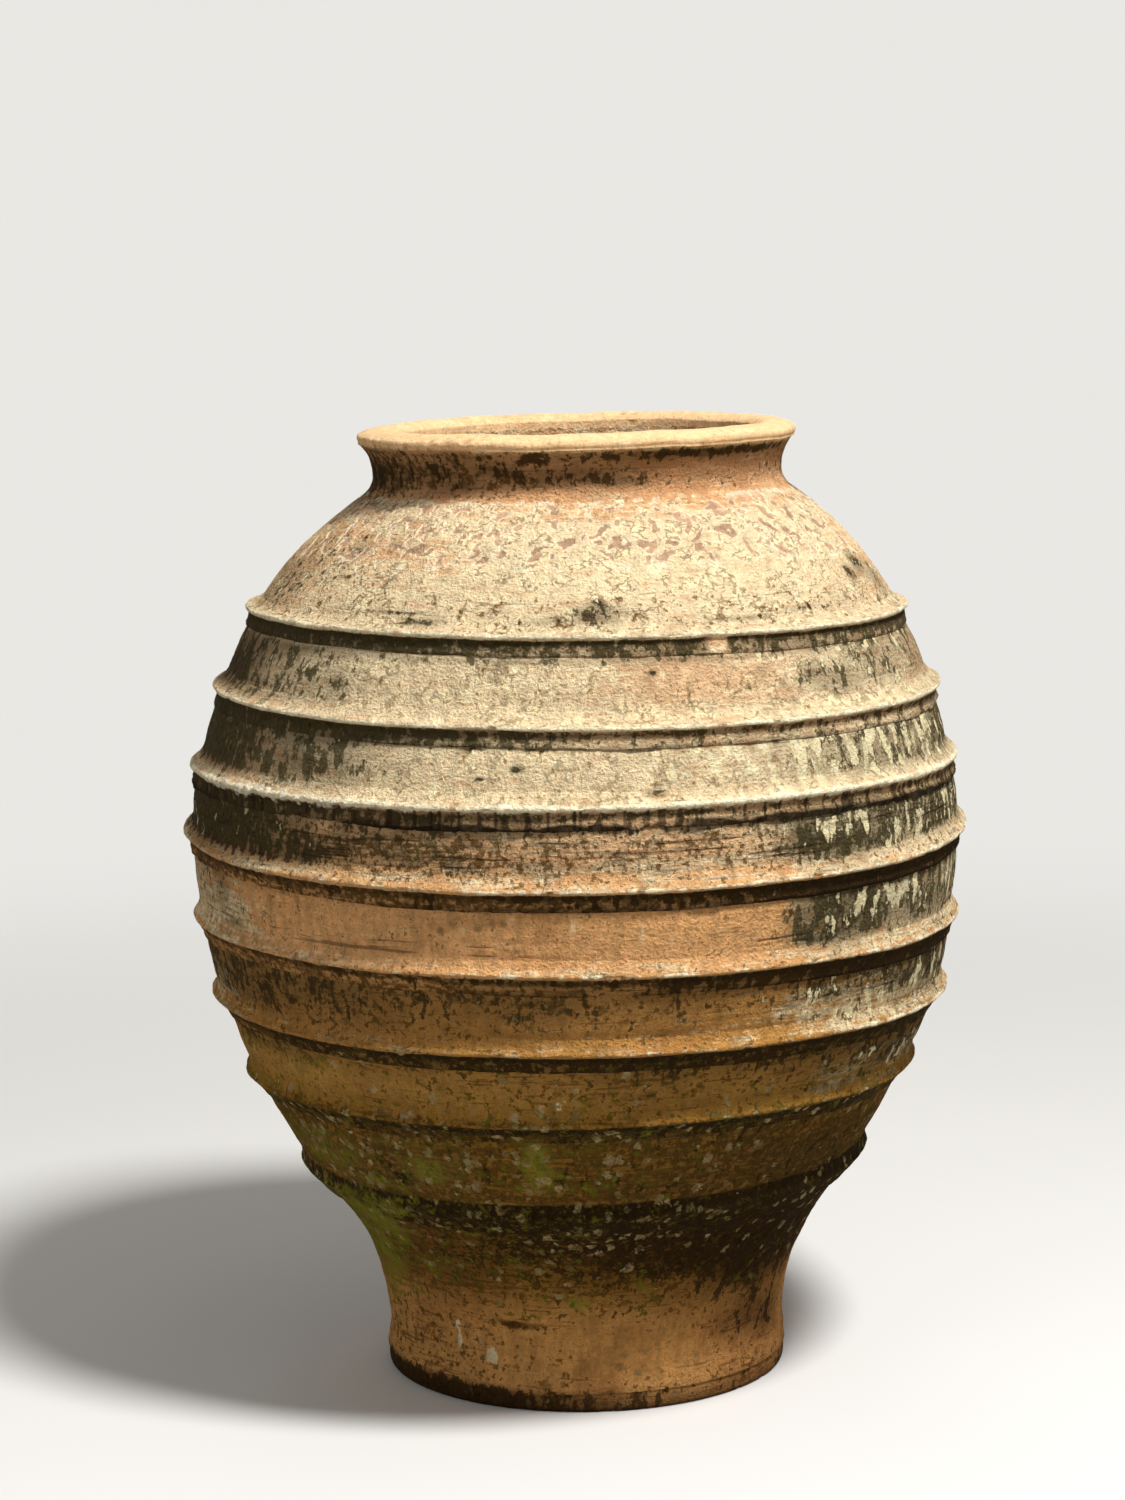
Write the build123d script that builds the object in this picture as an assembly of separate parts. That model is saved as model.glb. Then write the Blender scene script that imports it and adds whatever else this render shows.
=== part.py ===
from build123d import *
import os

# An olive jar of unglazed fired clay: hollow, open at the mouth, standing free on its foot.
# Sizes are in millimetres. Z is the jar's axis, and the foot stands on Z = 0.
# Every outline is drawn as points of radius and height, then turned about the axis.

# The jar as a whole
jar_height = 1000
belly_radius = 412
mouth_radius = 188
wall_thickness = 26

# Floor slab
slab_radius = 212
slab_thickness = 20
slab_edge_round = 5

# Foot wall: it overhangs the slab a little, draws in to a waist, then flares out
foot_ledge = 1.6
foot_waist_draw = 2.6
foot_waist_rise = 25
foot_wall_thickness = 31

# Bands, from the foot up: crest heights of the jar's height, crest radii of the belly's,
# and how far a band stands out and reaches up the wall, of the two sizes below
band_height_shares = (0.230, 0.334, 0.4125, 0.4925, 0.579, 0.655, 0.730, 0.813)
band_radius_shares = (0.733, 0.864, 0.9455, 0.9795, 1.0, 0.9805, 0.926, 0.840)
band_stand_shares = (0.9, 0.95, 0.95, 0.85, 0.85, 0.85, 1.05, 1.1)
band_reach_shares = (1, 1, 1, 1, 1, 1, 1, 0.75)
band_stand = 10
band_reach_above = 17
band_reach_below = 19
band_edge_thickness = 1
band_crest_width = 5
band_crest_round = 1.5
band_underside_drop = 8
band_skirt_thickness = 5

# Bevelled joints between the thrown rings, hidden behind the bands
joint_bevel_drop = 12
wall_bulge = 0.8
inner_bulge = 2

# Shoulder: it leaves the top band at this share of radius lost for height gained
shoulder_lean_share = 0.62
shoulder_bulge = 7.6

# Neck, measured down from the top of the lip and outwards from the mouth
neck_wall_thickness = 25.5
neck_waist_drop = 50
neck_foot_drop = 71
neck_foot_flare = 12.5
mouth_wall_drop = 50

# Lip
lip_width = 41
lip_depth = 15.5
lip_nose_drop = 10
lip_nose_height = 6.5
lip_nose_round = 1.2
lip_shadow_edge = 1
lip_crown_inset = 16
lip_inner_bevel = 8


# Points of radius and height are vectors: X is the radius, Y the height
def toward(start, end, rise):
    # the point on the line from start to end that lies this much above start
    return start + (end - start) * (rise / (end.Y - start.Y))


def square_to(low, high):
    # outward direction, square to the line from low up to high
    along = (high - low).normalized()
    return Vector(along.Y, -along.X)


def turned(*edges):
    # the solid that a closed outline makes when it is turned about the jar's axis
    return revolve(Plane.XZ * make_face(Wire(edges)), Axis.Z)


def save(solid, node):
    export_step(solid, os.path.join("parts", node + ".step"))


# Crests of the bands, and the wall behind each
crests = [
    Vector(belly_radius * radius_share, jar_height * height_share)
    for radius_share, height_share in zip(band_radius_shares, band_height_shares)
]
wall_points = [
    crest - Vector(band_stand * stand_share, 0)
    for crest, stand_share in zip(crests, band_stand_shares)
]
foot_lead = wall_points[0] * 2 - wall_points[1]
shoulder_lead = wall_points[-1] + Vector(-shoulder_lean_share, 1) * band_reach_above
points_below = [foot_lead] + wall_points[:-1]
points_above = wall_points[1:] + [shoulder_lead]

# Each band's seat is the straight stretch of wall between its lower and its upper seam
lower_seams = [
    toward(point, below, -band_reach_below)
    for point, below in zip(wall_points, points_below)
]
upper_seams = [
    toward(point, above, band_reach_above * reach_share)
    for point, above, reach_share in zip(wall_points, points_above, band_reach_shares)
]
outer_joints = [
    toward(low, high, band_reach_below)
    for low, high in zip(lower_seams, upper_seams)
]
inner_joints = [
    joint - square_to(low, high) * wall_thickness - (high - low).normalized() * joint_bevel_drop
    for joint, low, high in zip(outer_joints, lower_seams, upper_seams)
]

# Foot
foot_radius = slab_radius + foot_ledge
foot_waist = Vector(foot_radius - foot_waist_draw, slab_thickness + foot_waist_rise)
foot_inner_radius = foot_radius - foot_wall_thickness

# Shoulder and neck
neck_radius = mouth_radius + neck_wall_thickness
neck_foot = Vector(neck_radius + neck_foot_flare, jar_height - neck_foot_drop)
shoulder_line = SagittaArc(upper_seams[-1], neck_foot, -shoulder_bulge)
shoulder_end = shoulder_line % 1
neck_foot_inner = neck_foot - Vector(shoulder_end.Y, -shoulder_end.X) * wall_thickness
mouth_wall_low = Vector(mouth_radius, jar_height - mouth_wall_drop)

# Lip
lip_radius = mouth_radius + lip_width
lip_under_height = jar_height - lip_depth
lip_under_radius = lip_radius - lip_nose_round
neck_top = Vector(lip_under_radius - lip_shadow_edge, lip_under_height)
mouth_seam = Vector(mouth_radius, lip_under_height)


def base_slab():
    slab = Cylinder(slab_radius, slab_thickness, align=(Align.CENTER, Align.CENTER, Align.MIN))
    return fillet(slab.edges().group_by(Axis.Z)[0], slab_edge_round)


def foot_wall():
    outer_foot = Vector(foot_radius, slab_thickness)
    inner_foot = Vector(foot_inner_radius, slab_thickness)
    inner_waist = Vector(foot_inner_radius, foot_waist.Y)
    return turned(
        Line(outer_foot, foot_waist),
        TangentArc(foot_waist, lower_seams[0], tangent=(0, 1)),
        Line(lower_seams[0], outer_joints[0]),
        Line(outer_joints[0], inner_joints[0]),
        TangentArc(inner_waist, inner_joints[0], tangent=(0, 1)),
        Line(inner_waist, inner_foot),
        Line(inner_foot, outer_foot),
    )


def wall_section(index):
    # the thrown ring from the joint behind one band to the joint behind the next
    return turned(
        Line(outer_joints[index], upper_seams[index]),
        SagittaArc(upper_seams[index], lower_seams[index + 1], -wall_bulge),
        Line(lower_seams[index + 1], outer_joints[index + 1]),
        Line(outer_joints[index + 1], inner_joints[index + 1]),
        SagittaArc(inner_joints[index], inner_joints[index + 1], -inner_bulge),
        Line(inner_joints[index], outer_joints[index]),
    )


def shoulder_wall():
    return turned(
        Line(outer_joints[-1], upper_seams[-1]),
        shoulder_line,
        Line(neck_foot, neck_foot_inner),
        SagittaArc(inner_joints[-1], neck_foot_inner, -shoulder_bulge),
        Line(inner_joints[-1], outer_joints[-1]),
    )


def neck_collar():
    waist = Vector(neck_radius, jar_height - neck_waist_drop)
    return turned(
        TangentArc(waist, neck_foot, tangent=(0, -1)),
        TangentArc(waist, neck_top, tangent=(0, 1)),
        Line(neck_top, mouth_seam),
        Line(mouth_seam, mouth_wall_low),
        TangentArc(mouth_wall_low, neck_foot_inner, tangent=(0, -1)),
        Line(neck_foot_inner, neck_foot),
    )


def rim_lip():
    under = Vector(lip_under_radius, lip_under_height)
    nose = Vector(lip_radius, jar_height - lip_nose_drop)
    nose_top = nose + Vector(-lip_nose_round, lip_nose_height / 2)
    nose_low = Vector(lip_under_radius, nose.Y - lip_nose_height / 2)
    crown = Vector(mouth_radius + lip_crown_inset, jar_height)
    inner_edge = Vector(mouth_radius, jar_height - lip_inner_bevel)
    return turned(
        Line(mouth_seam, under),
        Line(under, nose_low),
        ThreePointArc(nose_low, nose, nose_top),
        TangentArc(crown, nose_top, tangent=(1, 0)),
        TangentArc(crown, inner_edge, tangent=(-1, 0)),
        Line(inner_edge, mouth_seam),
    )


def band(index):
    # a strip laid over the joint: a cove above, a rounded crest, a short underside and a skirt
    low = lower_seams[index]
    high = upper_seams[index]
    outward = square_to(low, high)
    low_edge = low + outward * band_edge_thickness
    high_edge = high + outward * band_edge_thickness
    crest = crests[index]
    crest_top = crest + Vector(-band_crest_round, band_crest_width / 2)
    crest_low = crest - Vector(band_crest_round, band_crest_width / 2)
    skirt = toward(outer_joints[index], low, -band_underside_drop) + outward * band_skirt_thickness
    return turned(
        Line(low, high),
        Line(high, high_edge),
        TangentArc(high_edge, crest_top, tangent=low - high),
        ThreePointArc(crest_top, crest, crest_low),
        Line(crest_low, skirt),
        Line(skirt, low_edge),
        Line(low_edge, low),
    )


os.makedirs("parts", exist_ok=True)
save(base_slab(), "base_slab")
save(foot_wall(), "foot_wall")
for number in range(1, len(crests)):
    save(wall_section(number - 1), f"wall_section_{number}")
save(shoulder_wall(), "shoulder_wall")
save(neck_collar(), "neck_collar")
save(rim_lip(), "rim_lip")
for number in range(1, len(crests) + 1):
    save(band(number - 1), f"band_{number}")
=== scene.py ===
import math
from functools import partial
import bpy
import numpy as np
from mathutils import Matrix, Vector


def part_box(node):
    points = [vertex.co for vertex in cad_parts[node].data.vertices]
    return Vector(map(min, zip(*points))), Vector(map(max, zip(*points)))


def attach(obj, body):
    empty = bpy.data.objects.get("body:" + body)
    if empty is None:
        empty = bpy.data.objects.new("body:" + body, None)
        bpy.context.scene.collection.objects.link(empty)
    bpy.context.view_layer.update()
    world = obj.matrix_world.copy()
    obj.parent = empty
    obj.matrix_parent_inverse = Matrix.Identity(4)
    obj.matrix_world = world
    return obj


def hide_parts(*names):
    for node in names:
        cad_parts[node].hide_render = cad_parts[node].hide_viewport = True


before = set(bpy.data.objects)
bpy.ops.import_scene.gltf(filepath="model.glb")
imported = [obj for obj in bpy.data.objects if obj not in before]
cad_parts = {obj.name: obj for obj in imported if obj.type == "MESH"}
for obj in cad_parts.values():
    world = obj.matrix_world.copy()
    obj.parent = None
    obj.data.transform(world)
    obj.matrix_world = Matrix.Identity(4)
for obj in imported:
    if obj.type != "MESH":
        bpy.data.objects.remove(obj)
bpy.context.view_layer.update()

millimetre = 0.001
bandNames = [f"band_{k}" for k in range(1, 1 + sum(name.startswith("band_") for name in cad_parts))]
wallNames = [f"wall_section_{k}" for k in range(1, len(bandNames))]
bandBoxes = [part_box(name) for name in bandNames]
link = bpy.context.scene.collection.objects.link
print("frame loaded:", len(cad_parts), "clay pieces,", len(bandNames), "of them bands")


# Small helpers

def addNode(tree, kind, inputs=(), operation=None, **settings):
    # a short kind is a shader node's; inputs are a list in socket order or a dictionary by name, where
    # a node stands for its first output, a hex value for its colour and None for the socket's own value
    node = tree.nodes.new(kind if "Node" in kind else "ShaderNode" + kind)
    if operation:
        node.operation = operation
    for key, value in settings.items():
        setattr(node, key, value)
    sockets = [socket for socket in node.inputs if socket.enabled]
    pairs = inputs.items() if isinstance(inputs, dict) else enumerate(inputs)
    for key, value in pairs:
        if isinstance(key, int):
            socket = sockets[key]
        else:
            socket = next(socket for socket in sockets if socket.name == key)
        if isinstance(value, bpy.types.Node):
            value = next(output for output in value.outputs if output.enabled)
        if isinstance(value, str) and value.startswith("#"):
            value = hexColour(value)
        if isinstance(value, bpy.types.NodeSocket):
            tree.links.new(value, socket)
        elif value is not None:
            socket.default_value = value
    return node


def emptyTree(owner):
    # clears the nodes of a material or world, and gives back the function that adds to them
    owner.use_nodes = True
    owner.node_tree.nodes.clear()
    return partial(addNode, owner.node_tree)


def hexColour(text):
    # an sRGB hex value as the linear colour that the shaders want
    channels = [int(text[i:i + 2], 16) / 255 for i in (1, 3, 5)]
    linear = [c / 12.92 if c <= 0.04045 else ((c + 0.055) / 1.055) ** 2.4 for c in channels]
    return (*linear, 1.0)


def easeBetween(places, values, wanted):
    # level at each place, easing smoothly from one to the next
    places, values = np.array(places), np.array(values)
    spot = np.clip(np.searchsorted(places, wanted) - 1, 0, len(places) - 2)
    t = np.clip((wanted - places[spot]) / (places[spot + 1] - places[spot]), 0, 1)
    t = t * t * (3 - 2 * t)
    return values[spot] + (values[spot + 1] - values[spot]) * t[..., None]


# Hand-made unevenness, judged against the photo

# millimetres: each band's height against its mean at the left, right and front, from the foot up
bandWander = [
    (-2, 8, -2), (-8, -2, 2), (-1, -2, 1), (1, -6, 1),
    (6, 3, -2), (-2, -1, 1), (5, -2, -1), (3, -4, 0),
]
rimWander = (-2, 2, 0)
# how far the jar leans to the right at these heights
leanHeights = (0, 100, 165, 230, 334, 412, 492, 579, 655, 730, 813, 850, 915, 950, 1000)
leanRight = (1, 1, 3.5, 2, -2, -1, -3, -3.5, -3.4, 0, 1.9, 3.5, 4.5, 3.2, 3.6)


def liftVector(left, right, front):
    mean = (left + right) / 2
    return np.array(((right - left) / 2, mean - front, mean)) * millimetre


# the foot stays level; each band lifts as one, and so does the lip
footHeights, lipHeights = [0.0, 0.04], [0.92, 1.0]
liftHeights = list(footHeights)
lifts = [liftVector(0, 0, 0)] * 2
for box, wander in zip(bandBoxes, bandWander):
    liftHeights += [box[0].z, box[1].z]
    lifts += [liftVector(*wander)] * 2
liftHeights += lipHeights
lifts += [liftVector(*rimWander)] * 2


# Outlines: each CAD node was turned from a closed section, which is read back from the frame

onPlane, samePoint = 2e-6, 1e-6  # metres within which points count as in the plane or as one


def nodeSection(name):
    # the section is made of the edges that lie in the plane through the axis, to the right of it
    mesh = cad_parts[name].data
    neighbours = {}
    for edge in mesh.edges:
        ends = [mesh.vertices[i].co for i in edge.vertices]
        if all(abs(end.y) < onPlane and end.x > 0 for end in ends):
            first, second = [(round(end.x, 5), round(end.z, 5)) for end in ends]
            if first != second:
                neighbours.setdefault(first, set()).add(second)
                neighbours.setdefault(second, set()).add(first)
    start = min(neighbours, key=lambda point: (len(neighbours[point]), point[1], -point[0]))
    section = [start]
    while True:
        onward = [p for p in neighbours[section[-1]] if p not in section[-2:]]
        if not onward or onward[0] == start:
            break
        section.append(onward[0])
    # anticlockwise, so that the outside lies to the right of the way round
    ahead = section[1:] + section[:1]
    area = sum(a[0] * b[1] - b[0] * a[1] for a, b in zip(section, ahead))
    return section if area > 0 else section[::-1]


def splitRuns(section, cornerDegrees):
    # cuts a closed section at its corners into runs of points, each run smooth
    points = [np.array(point) for point in section]
    count = len(points)
    corners = []
    for i, point in enumerate(points):
        before = point - points[i - 1]
        after = points[(i + 1) % count] - point
        turn = math.atan2(before[0] * after[1] - before[1] * after[0], before @ after)
        if abs(math.degrees(turn)) > cornerDegrees:
            corners.append(i)
    runs = []
    for first, last in zip(corners, corners[1:] + [corners[0] + count]):
        runs.append(np.array([points[i % count] for i in range(first, last + 1)]))
    return runs


def smoothLine(points, step):
    # evenly spaced points on a cubic curve through a run
    points = np.asarray(points, float)
    along = np.concatenate([[0], np.cumsum(np.linalg.norm(np.diff(points, axis=0), axis=1))])
    slopes = np.gradient(points, along, axis=0)
    places = np.linspace(0, along[-1], max(2, round(along[-1] / step) + 1))
    span = np.clip(np.searchsorted(along, places, side="right") - 1, 0, len(points) - 2)
    length = (along[span + 1] - along[span])[:, None]
    t = (places - along[span])[:, None] / length
    return ((2 * t**3 - 3 * t**2 + 1) * points[span] + (t**3 - 2 * t**2 + t) * length * slopes[span]
            + (3 * t**2 - 2 * t**3) * points[span + 1] + (t**3 - t**2) * length * slopes[span + 1])


def layRows(runs, describe):
    # rows of an outline: point, outward direction, zones (skin, crest, seam) and wear;
    # describe gives each run's step, which points to keep, and zones and wear at a point
    rows = []
    for number, run in enumerate(runs):
        step, keep, zonesAt = describe(number, run)
        line = smoothLine(run, step)
        tangents = np.gradient(line, axis=0)
        tangents /= np.linalg.norm(tangents, axis=1)[:, None]
        for i, (point, tangent) in enumerate(zip(line, tangents)):
            corner = i in (0, len(line) - 1)
            if corner or keep(point, i):
                rows.append((corner, point, (tangent[1], -tangent[0]), *zonesAt(point)))
    # where two runs meet, the row with more skin stays
    kept = []
    for row in rows + rows[:1]:
        if kept and row[0] and kept[-1][0] and np.linalg.norm(row[1] - kept[-1][1]) < samePoint:
            if row[3][0] > kept[-1][3][0]:
                kept[-1] = row
        else:
            kept.append(row)
    kept[0] = kept[-1]
    return [row[1:] for row in kept]


def keepAll(point, i):
    return True


def evenZones(skin):
    return lambda point: ((skin, 0.0, 0.0), (0.0, 0.0))


print("outline helpers ready")


# The thrown clay tree: turns an outline about the axis and gives it a hand-made surface

treeInputs = {
    "Int": ("Segments",),
    "Float": ("Wander", "Throwing Depth", "Groove Depth", "Lump Depth", "Pit Depth", "Chip Depth",
              "Mark Depth", "Spalled", "Cracked", "Seam Gape", "Seam Wander", "Crust Angle",
              "Crust Depth", "Seed"),
    "Material": ("Clay",),
}
# noises on the surface: cycles a metre round it and up it, detail, roughness and distortion
surfaceNoises = {
    "lines": (5, 150, 2, 0.5, 0), "grooves": (2.5, 62, 1.5, 0.5, 0), "scores": (8, 210, 3, 0.6, 0),
    "lumps": (22, 22, 3, 0.5, 0), "patches": (9, 9, 3, 0.5, 0), "worms": (70, 70, 1, 0.5, 0.9),
    "bites": (46, 46, 3, 0.6, 0),
}


def thrownClayTree():
    tree = bpy.data.node_groups.new("thrownClay", "GeometryNodeTree")
    add = partial(addNode, tree)
    tree.interface.new_socket(name="Outline", in_out="INPUT", socket_type="NodeSocketGeometry")
    for kind, names in treeInputs.items():
        for name in names:
            tree.interface.new_socket(name=name, in_out="INPUT", socket_type="NodeSocket" + kind)
    tree.interface.new_socket(name="Geometry", in_out="OUTPUT", socket_type="NodeSocketGeometry")
    given = add("NodeGroupInput").outputs
    outline = given["Outline"]

    # a grid whose columns are turned copies of the outline's rows
    rowCount = add("GeometryNodeAttributeDomainSize", [outline]).outputs["Point Count"]
    columnCount = add("Math", [given["Segments"], 1.0], "ADD")
    grid = add("GeometryNodeMeshGrid", {"Vertices X": columnCount, "Vertices Y": rowCount})
    index = add("GeometryNodeInputIndex")
    row = add("Math", [index, rowCount], "MODULO")
    middle = add("Math", [index, 0.5], "ADD")
    place = add("Math", [middle, rowCount], "DIVIDE")
    column = add("Math", [place], "FLOOR")
    share = add("Math", [column, given["Segments"]], "DIVIDE")
    angle = add("Math", [share, math.tau], "MULTIPLY")
    cosine = add("Math", [angle], "COSINE")
    sine = add("Math", [angle], "SINE")

    sampled = {}
    position = add("GeometryNodeInputPosition")
    for name in ("outward", "zones", "lift", "wear"):
        stored = add("GeometryNodeInputNamedAttribute", {"Name": name}, data_type="FLOAT_VECTOR")
        sampled[name] = add("GeometryNodeSampleIndex", [outline, stored, row], data_type="FLOAT_VECTOR")
    point = add("GeometryNodeSampleIndex", [outline, position, row], data_type="FLOAT_VECTOR")
    profile = add("SeparateXYZ", [point]).outputs
    wear = add("SeparateXYZ", [sampled["wear"]]).outputs

    # slow unevenness: lifted bands, a leaning axis and walls out of round
    around = add("CombineXYZ", [cosine, sine, 1.0])
    lifted = add("VectorMath", [sampled["lift"], around], "DOT_PRODUCT")
    stretched = add("Math", [profile["Z"], 5.0], "MULTIPLY")
    slowPlace = add("CombineXYZ", [cosine, sine, stretched])
    slow = add("TexNoise", [slowPlace, 1.6, 3.0, 0.55])  # a few swings on the way round
    swing = add("VectorMath", [slow.outputs["Color"], (0.5, 0.5, 0.5)], "SUBTRACT")
    swung = add("VectorMath", [swing, given["Wander"]], "SCALE")
    swingAxes = add("SeparateXYZ", [swung]).outputs
    grounded = add("Math", [profile["Z"], 12.0], "MULTIPLY", use_clamp=True)  # no rise at the floor
    rise = add("Math", [swingAxes["X"], grounded, lifted.outputs["Value"]], "MULTIPLY_ADD")
    radius = add("Math", [profile["X"], swingAxes["Y"]], "ADD")
    height = add("Math", [profile["Z"], rise], "ADD")
    across = add("Math", [radius, cosine, wear["Y"]], "MULTIPLY_ADD")
    along = add("Math", [radius, sine], "MULTIPLY")
    turned = add("CombineXYZ", [across, along, height])

    # the outward direction turned with the row, and the direction up along the wall
    outwardAxes = add("SeparateXYZ", [sampled["outward"]]).outputs
    outX = add("Math", [outwardAxes["X"], cosine], "MULTIPLY")
    outY = add("Math", [outwardAxes["X"], sine], "MULTIPLY")
    outward = add("CombineXYZ", [outX, outY, outwardAxes["Z"]])
    sidewards = add("CombineXYZ", [sine, cosine, 0.0])
    upwards = add("VectorMath", [outward, sidewards], "CROSS_PRODUCT")

    carried = grid
    fields = {"zones": sampled["zones"], "outward": outward, "upwards": upwards, "wear": sampled["wear"]}
    for name, value in fields.items():
        carried = add("GeometryNodeStoreNamedAttribute", [carried, None, name, value],
                      data_type="FLOAT_VECTOR")
    placed = add("GeometryNodeSetPosition", {"Geometry": carried, "Position": turned})
    closed = add("GeometryNodeMergeByDistance", {"Geometry": placed, "Distance": 1e-5})

    # noises on the placed surface, in metres
    named = {}
    for name in fields:
        named[name] = add("GeometryNodeInputNamedAttribute", {"Name": name}, data_type="FLOAT_VECTOR")
    zone = add("SeparateXYZ", [named["zones"]]).outputs
    skin, crest, seam = zone["X"], zone["Y"], zone["Z"]
    worn = add("SeparateXYZ", [named["wear"]]).outputs["X"]
    here = add("GeometryNodeInputPosition")
    seeds = add("CombineXYZ", [given["Seed"], 0.0, given["Seed"]])
    surface = add("VectorMath", [here, seeds], "ADD")
    noise = {}
    for name, (across, up, detail, roughness, distortion) in surfaceNoises.items():
        scaled = add("VectorMath", [surface, (across, across, up)], "MULTIPLY")
        noise[name] = add("TexNoise", [scaled, 1.0, detail, roughness, None, distortion])
    cells = add("TexVoronoi", [surface, 62.0])  # pits 16 mm apart
    crumbs = add("TexVoronoi", [surface, 125.0])  # crumbs 8 mm across
    hereAxes = add("SeparateXYZ", [here]).outputs
    backwards = add("Math", [hereAxes["Y"], -1.0], "MULTIPLY")
    bearing = add("Math", [hereAxes["X"], backwards], "ARCTAN2")
    unrolled = add("CombineXYZ", [bearing, hereAxes["Z"], 0.0])
    unrolled = add("VectorMath", [unrolled, (20, 3, 1)], "MULTIPLY")  # cracks a twentieth radian apart
    blocks = add("TexVoronoi", [unrolled, 1.0], feature="DISTANCE_TO_EDGE", voronoi_dimensions="2D")

    # each noise as a mask between two levels
    masks = {
        "pits": (cells, 0.42, 0.2), "pitted": (noise["patches"], 0.56, 0.62),
        "spalls": (noise["worms"], 0.54, 0.62), "chips": (noise["bites"], 0.6, 0.7),
        "open": (noise["patches"], 0.22, 0.42), "lined": (noise["scores"], 0.55, 0.66),
        "cracks": (blocks, 0.075, 0.02), "crumbs": (crumbs, 0.55, 0.15),
    }
    mask = {name: add("MapRange", values) for name, values in masks.items()}
    pits = add("Math", [mask["pits"], mask["pitted"]], "MULTIPLY")
    marks = add("Mix", [given["Spalled"], mask["lined"], mask["spalls"]])
    marks = add("Mix", [given["Cracked"], marks, mask["cracks"]])
    marked = add("Math", [marks, worn], "MULTIPLY")

    # a lumpy lime crust on one stretch of a crest, with its reach in radians
    offCrust = add("Math", [bearing, given["Crust Angle"]], "SUBTRACT")
    offCrust = add("Math", [offCrust], "ABSOLUTE")
    nearCrust = add("MapRange", [offCrust, 0.4, 0.2])
    crust = add("Math", [given["Crust Depth"]], "SIGN")
    for factor in (nearCrust, mask["crumbs"], crest):
        crust = add("Math", [crust, factor], "MULTIPLY")

    # relief along the outward direction: lines, grooves and lumps stand out, the rest is cut in
    relief = add("Math", [crust, given["Crust Depth"]], "MULTIPLY")
    standing = (("lines", "Throwing Depth"), ("grooves", "Groove Depth"), ("lumps", "Lump Depth"))
    for name, depth in standing:
        centred = add("Math", [noise[name], 0.5], "SUBTRACT")
        scaled = add("Math", [centred, given[depth]], "MULTIPLY")
        relief = add("Math", [scaled, skin, relief], "MULTIPLY_ADD")
    cut = ((pits, "Pit Depth", skin), (mask["chips"], "Chip Depth", crest), (marked, "Mark Depth", skin))
    for amount, depth, weight in cut:
        scaled = add("Math", [amount, given[depth]], "MULTIPLY")
        weighted = add("Math", [scaled, weight], "MULTIPLY")
        relief = add("Math", [relief, weighted], "SUBTRACT")
    tight = add("Math", [nearCrust, -0.75, 1.0], "MULTIPLY_ADD")  # the crust holds the seam shut
    opened = mask["open"]
    for factor in (given["Seam Gape"], tight, seam):
        opened = add("Math", [opened, factor], "MULTIPLY")
    relief = add("Math", [relief, opened], "ADD")

    # the lower edge of a band also wanders up and down the wall
    centred = add("Math", [noise["lumps"], 0.5], "SUBTRACT")
    slide = add("Math", [centred, given["Seam Wander"]], "MULTIPLY")
    wideSeam = add("Math", [seam], "SQRT")
    slide = add("Math", [slide, wideSeam], "MULTIPLY")
    outOffset = add("VectorMath", [named["outward"], relief], "SCALE")
    upOffset = add("VectorMath", [named["upwards"], slide], "SCALE")
    offset = add("VectorMath", [outOffset, upOffset], "ADD")

    carved = closed
    for name, value in {"relief": relief, "marked": marked, "crust": crust, "opened": opened}.items():
        carved = add("GeometryNodeStoreNamedAttribute", [carved, None, name, value], data_type="FLOAT")
    carved = add("GeometryNodeSetPosition", {"Geometry": carved, "Offset": offset})
    smooth = add("GeometryNodeSetShadeSmooth", {"Geometry": carved})
    # edges stay crisp where the surface turns sharply
    bend = add("GeometryNodeInputMeshEdgeAngle").outputs["Unsigned Angle"]
    corner = add("FunctionNodeCompare", [bend, math.radians(50)], "GREATER_THAN")
    crisp = add("GeometryNodeSetShadeSmooth", [smooth, corner, False], domain="EDGE")
    real = add("GeometryNodeRealizeInstances", [crisp])
    finished = add("GeometryNodeSetMaterial", {"Geometry": real, "Material": given["Clay"]})
    add("NodeGroupOutput", [finished])
    return tree


thrownClay = thrownClayTree()
sockets = thrownClay.interface.items_tree
identifiers = {socket.name: socket.identifier for socket in sockets if socket.in_out == "INPUT"}
print("thrown clay tree built")


# Weathering, its amounts judged

# base amounts are height in millimetres and percent; a mark is angle from the front in degrees, height,
# half width, half height, percent and, where its sides are harder, the power of their fall-off
baseAmounts = {
    "slip": (
        (0, 0), (400, 2), (430, 15), (500, 15), (560, 8), (600, 40), (640, 50), (665, 80), (790, 82),
        (820, 85), (880, 88), (920, 88), (935, 30), (980, 15), (986, 90), (1000, 95),
    ),
    # grime and umber rise at the floor and from about 130 to 230 mm, on the foot's upper part under the
    # belly: dirt and painted shade
    "grimeAndShade": (
        (0, 75), (16, 55), (26, 15), (60, 6), (110, 18), (150, 50), (225, 66), (245, 36), (330, 34),
        (345, 20), (400, 28), (420, 20), (480, 26), (500, 6), (565, 6), (600, 6), (640, 6), (700, 8),
        (790, 12), (840, 6), (880, 2), (930, 6), (950, 20), (978, 30), (986, 2), (1000, 0),
    ),
    "umberAndShade": (
        (0, 40), (30, 25), (60, 20), (90, 16), (130, 50), (230, 66), (330, 60), (345, 30), (400, 45),
        (415, 26), (480, 42), (500, 12), (560, 15), (600, 40), (640, 30), (665, 12), (800, 12), (825, 28),
        (850, 14), (885, 4), (940, 10), (950, 30), (980, 35), (986, 5), (1000, 0),
    ),
    "moss": (
        (0, 0), (90, 6), (140, 16), (230, 24), (330, 20), (400, 10), (480, 3), (520, 0), (1000, 0),
    ),
    "rosettes": (
        (0, 0), (120, 3), (150, 20), (230, 30), (330, 26), (350, 10), (420, 0), (1000, 0),
    ),
    "flakes": (
        (0, 0), (420, 2), (500, 6), (600, 10), (660, 16), (790, 16), (820, 20), (880, 20), (920, 10),
        (940, 0), (1000, 0),
    ),
}
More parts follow.
